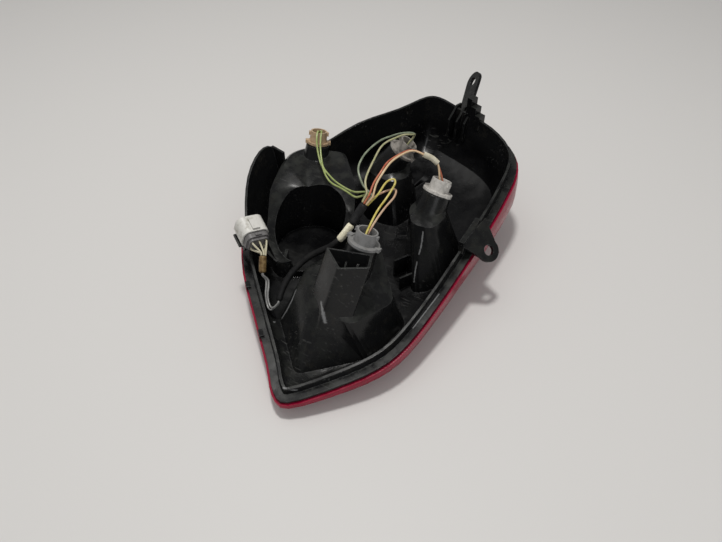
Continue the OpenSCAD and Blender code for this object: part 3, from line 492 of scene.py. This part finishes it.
# GASKETS
# A gasket is a thin ring of black rubber. One lies under each bulb holder's flange, which
# presses it on its seat when the holder is twisted in.
lamps = ("stop", "indicator", "reverse", "tail")
gaskets = [lamp + "_gasket" for lamp in lamps]
rubber_black, rubber_bloom = (0.014, 0.014, 0.015), (0.035, 0.034, 0.032)
rubber = Finish("gasket_rubber")
bloom = rubber.effect(blotches, Scale=200.0, Cover=0.5, Softness=0.3)
rubber.set(
    Base_Color=rubber.blend(bloom, rubber_black, rubber_bloom),
    Roughness=rubber.between(bloom, low=0.6, high=0.8),
    Normal=rubber.bump(bloom, strength=0.2, distance=0.0003))
rubber.put_on(*gaskets)
shade_moulded(*gaskets)

# BULB HOLDERS
# Each holder is a twist-in socket moulded in its own colour: mid grey over the near chamber,
# light grey on the right tower, frosted on the far tower, tan on the far left chamber.
holder_film = (0.22, 0.21, 0.18)
stain_dulls_by = 0.2
holder_looks = {  # colour, colour of its stains, roughness, how clear it is
    "stop_holder": ((0.225, 0.225, 0.225), (0.14, 0.14, 0.138), 0.45, 0.0),
    "indicator_holder": ((0.53, 0.51, 0.48), (0.25, 0.24, 0.22), 0.42, 0.0),
    "reverse_holder": ((0.40, 0.37, 0.335), (0.09, 0.078, 0.066), 0.30, 0.25),
    "tail_holder": ((0.52, 0.37, 0.225), (0.27, 0.185, 0.11), 0.45, 0.0),
}
for holder, (colour, stain, roughness, clear) in holder_looks.items():
    plastic = Finish(holder + "_plastic")
    stains = plastic.effect(blotches, Scale=130.0, Cover=0.42, Softness=0.15)
    rubs = plastic.effect(rubbed, Width=0.0008, Breakup=300.0, Amount=0.5)
    film = plastic.effect(dusty, Scale=120.0, Amount=0.35)
    filmed = plastic.blend(film, plastic.blend(stains, colour, stain), holder_film)
    orange_peel = plastic.clouds(scale=700.0, detail=2.0)
    soft_corners = plastic.rounded(radius=0.0004)
    plastic.set(
        Base_Color=plastic.blend(rubs, filmed, toned(colour, gain=1.35, lift=0.05)),
        Roughness=plastic.between(stains, low=roughness, high=roughness + stain_dulls_by),
        Transmission_Weight=clear,
        Normal=plastic.bump(orange_peel, strength=0.12, distance=0.0003, under=soft_corners))
    plastic.put_on(holder)
    shade_moulded(holder)

# CONTACTS AND PINS
# The strips in the holders and the pins of the connector are stamped from tinned brass. They
# are pressed into their plastic, and the wires are crimped to them.
metal_pieces = ["connector_pins"] + [lamp + "_contacts" for lamp in lamps]
brass_bright, brass_tarnished = (0.62, 0.52, 0.34), (0.30, 0.22, 0.12)
brass = Finish("tinned_brass")
tarnish = brass.effect(blotches, Scale=320.0, Cover=0.45, Softness=0.2)
brass.set(
    Base_Color=brass.blend(tarnish, brass_bright, brass_tarnished),
    Roughness=brass.between(tarnish, low=0.28, high=0.5),
    Metallic=1.0)
brass.put_on(*metal_pieces)
shade_moulded(*metal_pieces)

# BULBS
# The bulbs are of clear glass, a little smoked with age, and have a wedge base without a cap.
# They are pushed into the holders from below and stand inside the chambers.
bulbs = [lamp + "_bulb" for lamp in lamps]
glass_clear, glass_smoked = (0.93, 0.94, 0.95), (0.55, 0.52, 0.48)
glass = Finish("bulb_glass")
smoke = glass.effect(blotches, Scale=90.0, Cover=0.3, Softness=0.25)
glass.set(
    Base_Color=glass.blend(smoke, glass_clear, glass_smoked),
    Roughness=glass.between(smoke, low=0.02, high=0.12),
    Transmission_Weight=0.9,
    IOR=1.46)
glass.put_on(*bulbs)
shade_moulded(*bulbs)

# CONNECTOR
# The connector is a white moulded shell with a grey wire side pushed into it, and it sits on a
# black moulded clip in the top of the left wall.
connector_looks = {  # colour, colour of its stains, roughness
    "connector_shell": ((0.61, 0.60, 0.565), (0.35, 0.33, 0.28), 0.38),
    "connector_insert": ((0.14, 0.135, 0.134), (0.07, 0.066, 0.066), 0.48),
    "connector_clip": ((0.012, 0.012, 0.013), (0.03, 0.03, 0.028), 0.42),
}
for piece, (colour, stain, roughness) in connector_looks.items():
    plastic = Finish(piece + "_plastic")
    stains = plastic.effect(blotches, Scale=150.0, Cover=0.40, Softness=0.12)
    rubs = plastic.effect(rubbed, Width=0.0007, Breakup=260.0, Amount=0.5)
    stained = plastic.blend(stains, colour, stain)
    orange_peel = plastic.clouds(scale=800.0, detail=2.0)
    soft_corners = plastic.rounded(radius=0.0005)
    plastic.set(
        Base_Color=plastic.blend(rubs, stained, toned(colour, gain=1.2, lift=0.04)),
        Roughness=plastic.between(stains, low=roughness, high=roughness + stain_dulls_by),
        Normal=plastic.bump(orange_peel, strength=0.12, distance=0.0003, under=soft_corners))
    plastic.put_on(piece)
    shade_moulded(piece)


# WIRES
# Each lamp has its own pair of plastic-covered wires. They run in loose arcs over the housing
# from the holders to one junction, and from the connector down into the groove at the left.
def round_off(*names):
    """Makes a faceted wire or wrap round."""
    for name in names:
        weld = nodes[name].modifiers.new("weld", "WELD")
        weld.merge_threshold = weld_distance
        rounder = nodes[name].modifiers.new("round", "SUBSURF")
        rounder.levels = rounder.render_levels = 1
        rounder.boundary_smooth = "PRESERVE_CORNERS"
        for face in nodes[name].data.polygons:
            face.use_smooth = True


wire_looks = {  # colour of the cover, colour where it has faded
    "tail_wires": ((0.22, 0.29, 0.075), (0.42, 0.47, 0.20)),
    "reverse_wire_grey": ((0.15, 0.185, 0.125), (0.29, 0.33, 0.235)),
    "reverse_wire_green": ((0.33, 0.35, 0.17), (0.50, 0.45, 0.29)),
    "indicator_wire_orange": ((0.36, 0.055, 0.028), (0.56, 0.22, 0.12)),
    "indicator_wire_cream": ((0.60, 0.41, 0.23), (0.70, 0.55, 0.36)),
    "stop_wire_yellow": ((0.48, 0.38, 0.045), (0.64, 0.56, 0.19)),
    "stop_wire_pink": ((0.45, 0.26, 0.16), (0.60, 0.45, 0.32)),
    "connector_wires": ((0.50, 0.46, 0.30), (0.64, 0.60, 0.46)),
    "leg_wires": ((0.15, 0.15, 0.148), (0.28, 0.28, 0.27)),
}
for wire, (colour, pale) in wire_looks.items():
    cover = Finish(wire + "_cover")
    fading = cover.effect(blotches, Scale=110.0, Cover=0.5, Softness=0.25)
    grime = cover.effect(blotches, Scale=260.0, Cover=0.32, Softness=0.08)
    faded = cover.blend(fading, colour, pale)
    cover.set(
        Base_Color=cover.blend(grime, faded, toned(colour, gain=0.35)),
        Roughness=cover.between(grime, low=0.28, high=0.55),
        Normal=cover.bump(fading, strength=0.1, distance=0.0002))
    cover.put_on(wire)
    round_off(wire)

# TAPES AND SLEEVES
# Black cloth tape binds the junction, a cream foam sleeve follows, and the trunk below is taped
# black. Brown tape binds the wires at the connector, and a thin pale sleeve joins the indicator's.
wrap_looks = {  # colour, colour of its patches, roughness, fineness of the threads, their relief
    "bundle_tape": ((0.008, 0.008, 0.009), (0.028, 0.028, 0.028), 0.62, 420.0, 0.4),
    "trunk": ((0.0045, 0.0045, 0.005), (0.012, 0.0118, 0.0115), 0.55, 380.0, 0.4),
    "brown_tape": ((0.075, 0.040, 0.014), (0.26, 0.18, 0.075), 0.42, 300.0, 0.4),
    "bundle_sleeve": ((0.86, 0.82, 0.64), (0.66, 0.60, 0.43), 0.8, 700.0, 0.8),
    "indicator_sleeve": ((0.60, 0.565, 0.45), (0.46, 0.42, 0.31), 0.55, 300.0, 0.2),
}
patch_dulls_by = 0.15
for piece, (colour, patch_colour, roughness, fineness, relief) in wrap_looks.items():
    wrap = Finish(piece + "_wrap")
    patches = wrap.effect(blotches, Scale=140.0, Cover=0.45, Softness=0.2)
    threads = wrap.texture("ShaderNodeTexVoronoi", Scale=fineness)
    turns = wrap.texture("ShaderNodeTexWave", Scale=32.0, Distortion=1.5)
    turns.bands_direction = "DIAGONAL"
    turns.wave_profile = "SAW"
    woven = wrap.bump(threads.outputs["Distance"], strength=relief, distance=0.0004)
    wrap.set(
        Base_Color=wrap.blend(patches, colour, patch_colour),
        Roughness=wrap.between(patches, low=roughness, high=roughness + patch_dulls_by),
        Specular_IOR_Level=0.25,
        Normal=wrap.bump(turns.outputs["Fac"], strength=0.35, distance=0.0006, under=woven))
    wrap.put_on(piece)
    round_off(piece)
